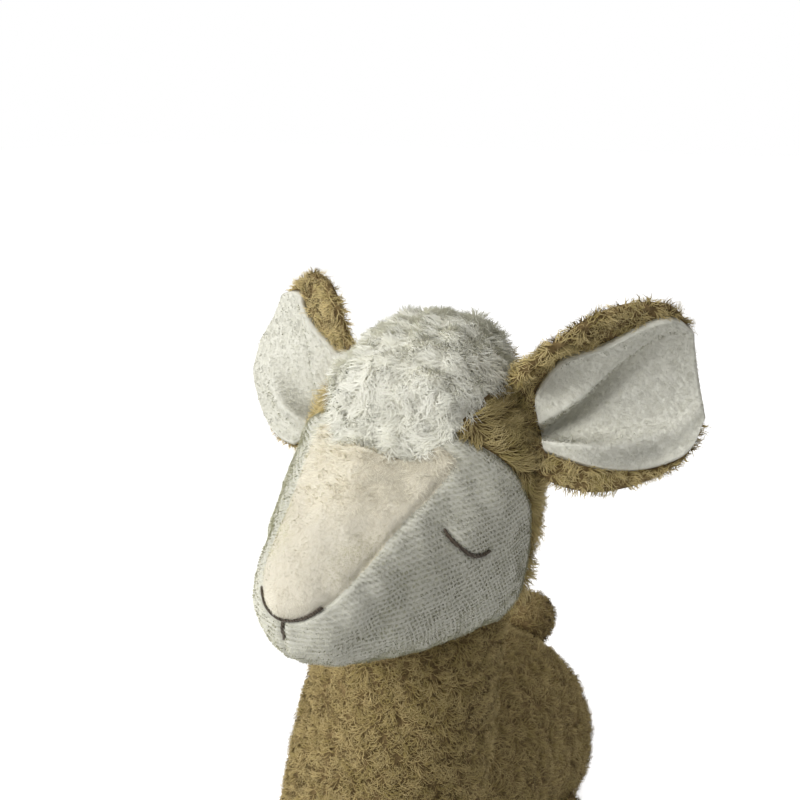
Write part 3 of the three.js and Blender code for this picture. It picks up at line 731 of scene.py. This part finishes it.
# full jowls
behind, above = head_points[:, 1] - SKULL[1] + 16 * MM, head_points[:, 2] - 160 * MM
jowl = np.exp(-(behind / (18 * MM)) ** 2 - (above / (14 * MM)) ** 2)
jowl *= ease(np.abs(head_points[:, 0]), 10 * MM, 26 * MM)
head_points += normals_of(head.data) * (JOWL_SWELL * jowl)[:, None]
head_edges = edges_of(head.data)
for seam in (to_face, to_forelock):
    head_points = snap(head_points, head_edges, seam)
head_points = snap(head_points, head_edges, to_bridge_on_face)
set_points(head.data, head_points)
head_normals = normals_of(head.data)
head_triangles = triangles_of(head.data)

# seams draw the fabric in and the stuffing swells beside them
face_d, bridge_d, forelock_d = to_face(head_points), to_bridge(head_points), to_forelock(head_points)
middle_d = np.abs(head_points[:, 0])


def groove(d, depth, width, swell):
    beside = np.exp(-((np.abs(d) - 2.6 * width) / (1.6 * width)) ** 2)
    return -depth * np.exp(-(d / width) ** 2) + swell * beside


def hollow(p):
    """1 along a line from the jaw up beside the bridge, falling to 0 away from it."""
    start, way = np.array([SKULL[1] - 71.5 * MM, 175 * MM]), np.array([13 * MM, 14.5 * MM])
    offset = p[:, 1:] - start
    share = np.clip(offset @ way / (way @ way), 0, 1)
    return np.exp(-(np.linalg.norm(offset - share[:, None] * way, axis=1) / (4.2 * MM)) ** 2)


face_zone = (face_d < 0) & (forelock_d > 0)
push = np.where(face_zone, groove(bridge_d, 0.55 * MM, 0.8 * MM, 0.12 * MM), 0)
push += np.where(face_zone & (bridge_d > 0), groove(middle_d, 0.55 * MM, 0.8 * MM, 0.15 * MM), 0)
push += np.where(forelock_d > 0, groove(face_d, 1.6 * MM, 1.8 * MM, 0.5 * MM), 0)
# the bridge is crowned, and each cheek has a hollow beside the mouth corner
crowned = np.exp(-(middle_d / (9 * MM)) ** 2) * ease(-bridge_d, 0, 4 * MM)
push += np.where(face_zone, BRIDGE_CROWN * crowned, 0)
push -= np.where(face_zone & (bridge_d > 0), CHEEK_HOLLOW * hollow(head_points), 0)
# the eye's stitches draw the fabric in below a swollen lid
for side, sign in (("left", 1), ("right", -1)):
    flat = head_points[:, 1:] - np.array([SKULL[1], 0]) - np.array(EYE_SHIFT[side]) * MM
    eye_d = np.min(np.linalg.norm(flat[:, None] - curve(EYE)[None] * MM, axis=2), axis=1)
    lid_d = np.linalg.norm(flat - np.array(LID) * MM, axis=1)
    lid = 0.9 * MM * np.exp(-(lid_d / (4.5 * MM)) ** 2) - 0.6 * MM * np.exp(-(eye_d / (1.3 * MM)) ** 2)
    push += np.where(sign * head_points[:, 0] > 15 * MM, lid, 0)
push += 0.55 * MM * bumps(head_points, 30 * MM, 5) + 0.3 * MM * bumps(head_points, 13 * MM, 6)
push += np.where(forelock_d < 0, 0.8 * MM * bumps(head_points, 12 * MM, 7), 0)
head_points = head_points + head_normals * push[:, None]
set_points(head.data, head_points)
head_normals = normals_of(head.data)

HEAD_PARTS = [("left_cheek_velour", ["left_cheek"], CHEEK, "cream_velour"),
              ("right_cheek_velour", ["right_cheek"], CHEEK, "cream_velour"),
              ("nose_bridge_velour", ["nose_bridge"], BRIDGE, "cream_velour"),
              ("head_back_cover", ["head_back", "head_stuffing"], BROWN_BACK_ROOT_SHADE, "brown_plush"),
              ("forelock_base", ["forelock"], WHITE_BACK, "white_long_pile")]
# each triangle goes to a row of the list above
middles = head_points[head_triangles].mean(1)
region = np.full(len(head_triangles), 3)
region[to_face(middles) < 0] = np.where(middles[to_face(middles) < 0][:, 0] > 0, 0, 1)
region[(to_face(middles) < 0) & (to_bridge(middles) < 0)] = 2
region[to_forelock(middles) < 0] = 4
head_skin = {}
for number, (name, nodes, paint, slot) in enumerate(HEAD_PARTS):
    chosen = head_triangles[region == number]
    piece, head_skin[name] = panel(name, head_points, head_normals, chosen, paint)
    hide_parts(*nodes)
    settle([piece], "head")
face_tree = BVHTree.FromPolygons(head_points.tolist(), head_triangles.tolist())
bpy.data.objects.remove(head)


def nape(points, normals):
    level = np.ones(len(points))
    return np.stack([0.4 * points[:, 0] / (40 * MM), 0.6 * level, -0.8 * level], 1)


def crown(points, normals):
    # from a parting behind the top of the head, forwards over the brow and down at the sides
    away = points - np.array([0, SKULL[1] + 10 * MM, 240 * MM])
    away[:, 1] -= 12 * MM
    return away


head_fur = fur("head_back_pile", *head_skin["head_back_cover"], seed=51, density=2.2, length=7.5 * MM,
               lock=6 * MM, flow=nape, curl=1.3, lift=(0.35, 1.8), **brown)
settle(head_fur, "head")
forelock_fur = fur("forelock_pile", *head_skin["forelock_base"], seed=61, paint=WHITE_PILE, density=3.6,
                   length=5.2 * MM, width=0.4 * MM, lock=4 * MM, flow=crown, curl=0.9, lift=(0.35, 1.6),
                   gather=0.2, spread=0.3, steps=3, most=38000)
settle(forelock_fur, "head")
nap = dict(paint=CREAM_PILE, width=0.3 * MM, lock=3 * MM, curl=0.6, lift=(0.3, 1.5), spread=0.5, steps=2,
           most=60000, sink=0.15 * MM)
COURSE, WALE = unit(np.array([[0, -0.08, 1.0], [0, -1.0, -0.08]]))
COURSE_PITCH, WALE_PITCH = 1.45 * MM, 1.3 * MM


def in_courses(roots, normals):
    """Draws the pile of knitted velour into rows of tufts."""
    place = roots @ COURSE + 0.5 * MM * bumps(roots, 24 * MM, 3)
    row = np.round(place / COURSE_PITCH)
    beside = roots @ WALE + 0.5 * MM * bumps(roots, 17 * MM, 4) + 0.62 * WALE_PITCH * row
    up = 0.45 * (row * COURSE_PITCH - place)
    along = 0.42 * (np.round(beside / WALE_PITCH) * WALE_PITCH - beside)
    for way, shift in ((COURSE, up), (WALE, along)):
        roots = roots + (way - normals * (normals @ way)[:, None]) * shift[:, None]
    return roots


def along_courses(roots, normals):
    return np.tile([0, -1.0, -0.4], (len(roots), 1))


def cheek_painted_light(roots):
    # painted light and shade: palest on the muzzle and darker back along the cheek as it turns from the
    # lamps, with painted shade in the hollow beside the mouth corner
    return 0.37 + 0.65 * ease(-roots[:, 1], 64 * MM - SKULL[1], 80 * MM - SKULL[1]) - 0.3 * hollow(roots)


for side in ("left", "right"):
    cheek_nap = fur(side + "_cheek_nap", *head_skin[side + "_cheek_velour"], seed=71, density=7.0,
                    length=1.0 * MM, flow=along_courses, settle_roots=in_courses, tone=cheek_painted_light, grain=0.11,
                    **(nap | {"paint": CHEEK_PILE, "width": 0.26 * MM, "lift": (0.1, 0.9)}))
    settle(cheek_nap, "head")


def bridge_length(roots):
    # fluffier towards the forelock
    return 1.0 * MM + 2.2 * MM * np.clip((roots[:, 2] - 202 * MM) / (14 * MM), 0, 1)


def bridge_tone_and_shade(roots):
    # palest on the nose and at the forelock, with painted shade midway up and on the sides
    height = roots[:, 2]
    middle = ease(height, 184 * MM, 190 * MM) * (1 - ease(height, 199 * MM, 206 * MM))
    # painted shade on the sides, where the bridge rounds away from the lamps
    aside = ease(np.abs(roots[:, 0]), 4 * MM, 12 * MM) * middle
    # darker midway up: partly the fabric's beige colour, partly painted shade of the dip between nose and
    # forelock
    pale = 1.05 - 0.6 * ease(height, 183 * MM, 197 * MM) + 0.45 * ease(height, 200 * MM, 207 * MM)
    return pale - 0.32 * aside


def down_bridge(roots, normals):
    return np.tile([0, -0.5, -1.0], (len(roots), 1))


bridge_nap = fur("nose_bridge_nap", *head_skin["nose_bridge_velour"], seed=75, density=4.0,
                 length=bridge_length, flow=down_bridge, tone=bridge_tone_and_shade, grain=0.06,
                 **(nap | {"gather": 0.15, "spread": 0.35}))
settle(bridge_nap, "head")

# Embroidery


def rope(name, path, radius, stitch, paint):
    """Stem stitches: short overlapping strands laid along a path, each a slim twisted bead."""
    path = np.asarray(path, float)
    gone = np.concatenate([[0], np.cumsum(np.linalg.norm(np.diff(path, axis=0), axis=1))])
    fine = np.linspace(0, gone[-1], max(8, int(gone[-1] / (0.3 * MM))))
    line = np.stack([np.interp(fine, gone, path[:, k]) for k in range(3)], 1)
    points, faces = [], []
    rings, sides = 9, 8
    for start in np.arange(0, gone[-1] - 0.3 * stitch, 0.55 * stitch):
        ends = np.linspace(start, min(start + stitch, gone[-1]), rings)
        spine = np.stack([np.interp(ends, fine, line[:, k]) for k in range(3)], 1)
        heading = unit(np.gradient(spine, axis=0))
        out = unit(np.array([face_tree.find_nearest(spot)[1] for spot in spine]))
        beside = unit(np.cross(heading, out))
        share = np.linspace(-1, 1, rings)
        spine = spine + beside * (share * 0.55 * radius)[:, None]
        thick = radius * np.sqrt(np.maximum(1 - 0.92 * share ** 4, 0.05))
        base = len(points)
        for k in range(rings):
            for j in range(sides):
                angle = j / sides * 2 * math.pi
                way = math.cos(angle) * beside[k] + 0.8 * math.sin(angle) * out[k]
                points.append(spine[k] + thick[k] * way)
        for k in range(rings - 1):
            for j in range(sides):
                a, b = base + sides * k + j, base + sides * k + (j + 1) % sides
                faces.append((a, b, b + sides, a + sides))
        faces.append(tuple(base + j for j in range(sides - 1, -1, -1)))
        faces.append(tuple(base + sides * (rings - 1) + j for j in range(sides)))
    return mesh_object(name, np.array(points), faces, paint)


def face_spot(start, heading, raise_by):
    spot, normal, _, _ = face_tree.ray_cast(Vector(start), Vector(heading))
    return np.array(spot) + np.array(normal) * raise_by


# points of the mouth are (X, height) in millimetres
MOUTH_ARM = [(0, 183.4), (3.6, 184.2), (6.8, 185.7), (9.6, 188)]
MOUTH_STEM = [(0, 183.8), (0, 180.4), (0, 176.8)]
PROUD = 0.45 * MM
for side, sign in (("left", 1), ("right", -1)):
    flat = (curve(EYE) + np.array(EYE_SHIFT[side])) * MM
    path = [face_spot((sign, SKULL[1] + y, z), (-sign, 0, 0), PROUD) for y, z in flat]
    eye = rope(side + "_eye_stitches", path, 0.55 * MM, 3.2 * MM, THREAD)
    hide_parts(side + "_eye")
    settle([eye], "head")
mouth_parts = []
for points, sign in ((MOUTH_ARM, 1), (MOUTH_ARM, -1), (MOUTH_STEM, 1)):
    flat = curve(points) * MM
    mouth_parts.append([face_spot((sign * x, -1, z), (0, 1, 0), PROUD) for x, z in flat])
names = ("mouth_left_arm", "mouth_right_arm", "mouth_stem")
mouth = [rope(name, path, 0.48 * MM, 2.4 * MM, THREAD) for name, path in zip(names, mouth_parts)]
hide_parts("mouth")
settle(mouth, "head")

# Ears: a velour lining and a plush back on one cupped, folded sheet

EAR_BASE = np.array([29.5, 4, 222]) * MM
# share of the ear's length, half width and radius of the cup in millimetres
EAR_ROWS = np.array([(0, 24, 17), (.12, 31, 22), (.3, 35, 29), (.5, 34.5, 37), (.7, 32, 43), (.88, 27, 43),
                     (1, 16, 43)])
EAR_STEPS, EAR_COLUMNS = 46, 81
# sweep and rise are degrees, drop and length millimetres. open widens the cup and top is the upper edge.
# The plush bulges past it by flare, and flat is how far the upper half lies flat. The lining starts past the
# root by bare and stops above the lower edge by hem. Above it the plush is turned forward over a share TURNED
# of the half width, and narrow thins that towards the tip.
EARS = {
    "left": dict(sweep=23, rise=14, drop=0, length=55, open=1.0, top=1.0, flare=0.0, flat=0.0,
                 bare=0.3, narrow=1.0, hem=0.27),
    "right": dict(sweep=13, rise=33, drop=12, length=52, open=1.24, top=0.95, flare=0.2, flat=0.5,
                  bare=0.14, narrow=0.3, hem=0.0)}
TURNED = 0.42


def ear_axes(ear):
    """Unit vectors along the ear, across it and to its front."""
    sweep, rise = math.radians(ear["sweep"]), math.radians(ear["rise"])
    along = np.array([math.cos(sweep) * math.cos(rise), math.sin(sweep) * math.cos(rise), math.sin(rise)])
    across = unit(np.array([0, 0, 1.0]) - along * along[2])
    return along, across, np.cross(along, across)


def ear_folds(v, share):
    """How far the fabric stands forward."""
    # a slanting fold: the upper lobe hangs over a hollow, and a lip rolls up below it
    along_fold = np.exp(-((share - 0.35) / 0.36) ** 2)
    above = v + 0.28 - 1.3 * (share - 0.12)
    over = 0.5 + 0.5 * np.tanh(above / 0.045)
    hanging = 5.5 * MM * over * np.exp(-(above / 0.5) ** 2)
    hollowed = 6.0 * MM * (1 - over) * np.exp(-(above / 0.22) ** 2)
    crease = (hanging - hollowed) * along_fold
    lobe = 9.0 * MM * np.exp(-((v + 0.62) / 0.17) ** 2) * along_fold
    hem = 2.5 * MM * np.clip((v - 0.45) / 0.4, 0, 1) ** 2 * (1 - share)
    soft = 0.6 * MM * np.sin(7 * v + 5 * share) * np.sin(math.pi * np.minimum(share * 1.2, 1))
    return crease + lobe + hem + soft


def ear_sheet(side, depth, lining=False):
    """Grid over the ear: along it and across it, at a depth in front of its back."""
    ear = EARS[side]
    along, across, front = ear_axes(ear)
    base = EAR_BASE - np.array([0, 0, ear["drop"] * MM])
    widths, curls = (curve(EAR_ROWS[:, [0, k]], 120) for k in (1, 2))
    rows = []
    for step in np.linspace(0, 1, EAR_STEPS):
        if lining:
            lower, tip = -1 + ear["hem"] * (1 - step), 1.0
            upper = ear["top"] - TURNED * (1 - ear["narrow"] * step)
        else:
            lower, tip = -0.97, 0.97
            upper = ear["top"] + ear["flare"] * (math.sin(math.pi * step) - ease(step, 0.8, 1))
        v = np.linspace(lower, upper, EAR_COLUMNS)
        root = 0.1 + ear["bare"] * np.clip((np.abs(v + 0.3) - 0.35) / 0.65, 0, 1) ** 2 if lining else 0.02
        share = root + (tip - root) * step + 0 * v
        half = np.interp(share, widths[:, 0], widths[:, 1]) * MM
        curl = np.interp(share, curls[:, 0], curls[:, 1]) * MM * ear["open"]
        angle = v * half / curl
        reach = curl - depth - ear_folds(v, share)
        bow = -3.0 * MM * share ** 2 - ear["flat"] * curl * (1 - np.cos(angle)) * ease(v, 0, 0.8)
        rows.append(base + along * (ear["length"] * MM * share)[:, None]
                    + across * (reach * np.sin(angle))[:, None]
                    + front * (curl + bow - reach * np.cos(angle))[:, None])
    grid = np.array(rows)
    if side == "right":
        grid[..., 0] *= -1
    return grid + np.array([0, SKULL[1], 0])


def slab(name, front, back, paint):
    """Closed sheet between two grids of the same size."""
    rows, columns = front.shape[:2]
    points = np.concatenate([front.reshape(-1, 3), back.reshape(-1, 3)])

    def at(layer, i, j):
        return layer * rows * columns + i * columns + j

    faces = []
    for i in range(rows - 1):
        for j in range(columns - 1):
            faces.append((at(0, i, j), at(0, i, j + 1), at(0, i + 1, j + 1), at(0, i + 1, j)))
            faces.append((at(1, i, j), at(1, i + 1, j), at(1, i + 1, j + 1), at(1, i, j + 1)))
    border = ([(0, j) for j in range(columns - 1)] + [(i, columns - 1) for i in range(rows - 1)]
              + [(rows - 1, j) for j in range(columns - 1, 0, -1)] + [(i, 0) for i in range(rows - 1, 0, -1)])
    for (i, j), (k, m) in zip(border, border[1:] + border[:1]):
        faces.append((at(0, k, m), at(0, i, j), at(1, i, j), at(1, k, m)))
    obj = mesh_object(name, points, faces, paint)
    corners = points[triangles_of(obj.data)]
    if (np.cross(corners[:, 0], corners[:, 1]) * corners[:, 2]).sum() < 0:
        obj.data.flip_normals()
    return obj


for number, side in enumerate(EARS):
    front, rear = (ear_sheet(side, depth * MM, True) for depth in (6.0, 3.6))
    lining = slab(side + "_ear_velour", front, rear, LINING)
    front, rear = (ear_sheet(side, depth * MM) for depth in (3.2, 0.4))
    back = slab(side + "_ear_cover", front, rear, BROWN_BACK_ROOT_SHADE)
    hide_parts(side + "_ear_lining")
    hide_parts(side + "_ear_back")
    points, normals, triangles = skin_of(back)
    cover = BVHTree.FromPolygons(points_of(lining.data).tolist(), triangles_of(lining.data).tolist())
    middles = points[triangles].mean(1)
    ways = unit(normals[triangles].mean(1))
    hidden = np.array([cover.ray_cast(Vector(middle - MM * way), Vector(way), 6 * MM)[0] is not None
                       for middle, way in zip(middles, ways)])
    facing_in = (triangles < len(points) // 2).sum(1) == 3
    behind = triangles[~(hidden & facing_in)]
    made = fur(side + "_ear_pile", points, normals, behind, seed=81 + number, density=2.4, length=5 * MM,
               lock=4.5 * MM, curl=1.6, lift=(0.35, 2.1), gather=0.35, spread=0.4, **brown)
    settle([back, *made], side + "_ear")
    points, normals, triangles = skin_of(lining)
    half = len(points) // 2
    ahead = triangles[(triangles < half).sum(1) == 3]
    made = fur(side + "_ear_nap", points, normals, ahead, seed=91 + number, density=4.0, length=1.5 * MM,
               **(nap | {"paint": LINING_PILE, "lock": 1.6 * MM, "gather": 0.7}))
    settle([lining, *made], side + "_ear")

# Heat pillow, pocket, flap and tapes

STONES, STONE_FLATNESS = 420, 0.4
POCKET_END_WIDTH = 0.88
FLAP_TOP_NARROWER, FLAP_SIDES_IN = 0.14, 3.3 * MM
pillow = remeshed("pillow_form", ["pillow_upper_panel", "pillow_lower_panel", "cherry_stones"], 2.2 * MM, 4)
pillow_points = points_of(pillow.data)
seam_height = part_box("pillow_upper_panel")[0][2]
rim = np.abs(pillow_points[:, 2] - seam_height) < 1.6 * MM
inflate([(pillow, 1.5, 0.6 * MM, rim)])
subdivided(pillow, 1)
pillow_points = points_of(pillow.data)
rng = np.random.default_rng(7)
low, high = pillow_points.min(0), pillow_points.max(0)
stones = KDTree(STONES)
for k, spot in enumerate(rng.uniform(low, high, (STONES, 3))):
    stones.insert((spot[0], spot[1], STONE_FLATNESS * spot[2]), k)
stones.balance()
nearest = np.array([stones.find((x, y, STONE_FLATNESS * z))[2] for x, y, z in pillow_points])
flatness = np.clip((np.abs(pillow_points[:, 2] - seam_height) - 2 * MM) / (5 * MM), 0, 1)
swell = (0.45 * MM - 0.13 * nearest) * flatness
set_points(pillow.data, pillow_points + normals_of(pillow.data) * swell[:, None])
pillow_points, pillow_triangles = points_of(pillow.data), triangles_of(pillow.data)
pillow_normals = normals_of(pillow.data)
upper = pillow_points[pillow_triangles].mean(1)[:, 2] > seam_height
PILLOW_PARTS = [("pillow_upper_cotton", ["pillow_upper_panel", "cherry_stones"], upper),
                ("pillow_lower_cotton", ["pillow_lower_panel"], ~upper)]
for name, nodes, chosen in PILLOW_PARTS:
    piece, _ = panel(name, pillow_points, pillow_normals, pillow_triangles[chosen], COTTON)
    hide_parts(*nodes)
    settle([piece], "heat_pillow")
bpy.data.objects.remove(pillow)

pocket = copy_of("pocket_cotton", ["pocket_bag"])
fine = pocket.modifiers.new("fine", "SUBSURF")
fine.subdivision_type, fine.levels, fine.render_levels = "SIMPLE", 2, 2
baked(pocket)
wrinkle(pocket, 0.18 * MM, 14 * MM, 9)
# its inner end is narrower than the torso
spots = points_of(pocket.data)
wider = ease(spots[:, 1], pocket_low[1], pocket_low[1] + 30 * MM)
spots[:, 0] *= POCKET_END_WIDTH + (1 - POCKET_END_WIDTH) * wider
set_points(pocket.data, spots)
repaint(pocket, COTTON)
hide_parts("pocket_bag")
settle([pocket], "torso")

TAPES = [("hook_tape", "flap", -1, (0.1, 2.4)), ("loop_tape", "torso", 1, (0.3, 2.9))]
for tape, body, facing, lift in TAPES:
    node = frame["nodes"][tape]
    repaint(node, TAPE)
    made = fur(tape + "_pile", *skin_of(node, lambda middles, normals: normals[:, 1] * facing > 0.9),
               seed=111, paint=TAPE_PILE, density=3.0, length=1.1 * MM, width=0.25 * MM, lock=1.5 * MM,
               curl=0.5, lift=lift, steps=3, sink=0.05 * MM)
    settle(made, body)


def flap_outside(middles, normals):
    return (normals[:, 1] > -0.2) & (middles[:, 2] > 4 * MM)


flap = remeshed("flap_cover", ["pocket_flap"], 1.2 * MM, 6)
# narrower at its top, with its sides drawn in against the body
spots = points_of(flap.data)
spots[:, 0] *= 1 - FLAP_TOP_NARROWER * ease(spots[:, 2], 33 * MM, 48 * MM)
below_hinge = 1 - ease(spots[:, 2], 42 * MM, 48 * MM)
spots[:, 1] -= FLAP_SIDES_IN * ease(np.abs(spots[:, 0]), 20 * MM, 33 * MM) * below_hinge
set_points(flap.data, spots)
repaint(flap, BROWN_BACK_ROOT_SHADE)
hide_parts("pocket_flap")
flap_fur = fur("flap_pile", *skin_of(flap, flap_outside), seed=101, density=1.6, length=6 * MM, lock=5.5 * MM,
               flow=downward, curl=1.2, lift=(0.3, 1.9), **shaded_brown)
settle([flap, *flap_fur], "flap")

# Floor and light

WORLD_LIGHT = 0.28
FLOOR_SHADE, FLOOR_GLOW, FLOOR_REACH = 0.9, 0.78, 6
LAMPS = [("key", (-0.66, -1.05, 0.86), 0.6, 15.3), ("overhead", (0.18, 0.15, 1.48), 0.8, 3.9)]
LAMP_AIM = Vector((0, -0.02, 0.17))


def seen_directly(tree):
    """1 for rays from the camera and those seen in shiny things, else 0."""
    path = tree.nodes.new("ShaderNodeLightPath")
    total = path.outputs["Is Camera Ray"]
    for kind in ("Is Glossy Ray", "Is Transmission Ray"):
        node = tree.nodes.new("ShaderNodeMath")
        node.operation = "MAXIMUM"
        tree.links.new(total, node.inputs[0])
        tree.links.new(path.outputs[kind], node.inputs[1])
        total = node.outputs[0]
    return total


def studio():
    paint = Paint("floor", 0.95)
    paint.colour(rgb(FLOOR_SHADE, FLOOR_SHADE, FLOOR_SHADE))
    glow = paint.maths("MULTIPLY", seen_directly(paint.tree), FLOOR_GLOW)
    paint.set(paint.shader, {"Emission Color": rgb(1, 1, 1), "Emission Strength": glow})
    corners = [(x * FLOOR_REACH, y * FLOOR_REACH, 0) for x, y in ((-1, -1), (1, -1), (1, 1), (-1, 1))]
    floor = mesh_object("floor", corners, [(0, 1, 2, 3)], paint.material, False)
    world = bpy.data.worlds.new("studio")
    scene.world = world
    world.use_nodes = True
    back = world.node_tree.nodes["Background"]
    back.inputs["Color"].default_value = rgb(1, 1, 1)
    level = world.node_tree.nodes.new("ShaderNodeMapRange")
    level.inputs["To Min"].default_value = WORLD_LIGHT
    level.inputs["To Max"].default_value = 1.0
    world.node_tree.links.new(seen_directly(world.node_tree), level.inputs["Value"])
    world.node_tree.links.new(level.outputs[0], back.inputs["Strength"])
    for name, place, size, power in LAMPS:
        data = bpy.data.lights.new(name, "AREA")
        data.size, data.energy = size, power
        lamp = bpy.data.objects.new(name, data)
        lamp.location = place
        aim = LAMP_AIM - lamp.location
        lamp.rotation_euler = aim.to_track_quat("-Z", "Y").to_euler()
        scene.collection.objects.link(lamp)


studio()
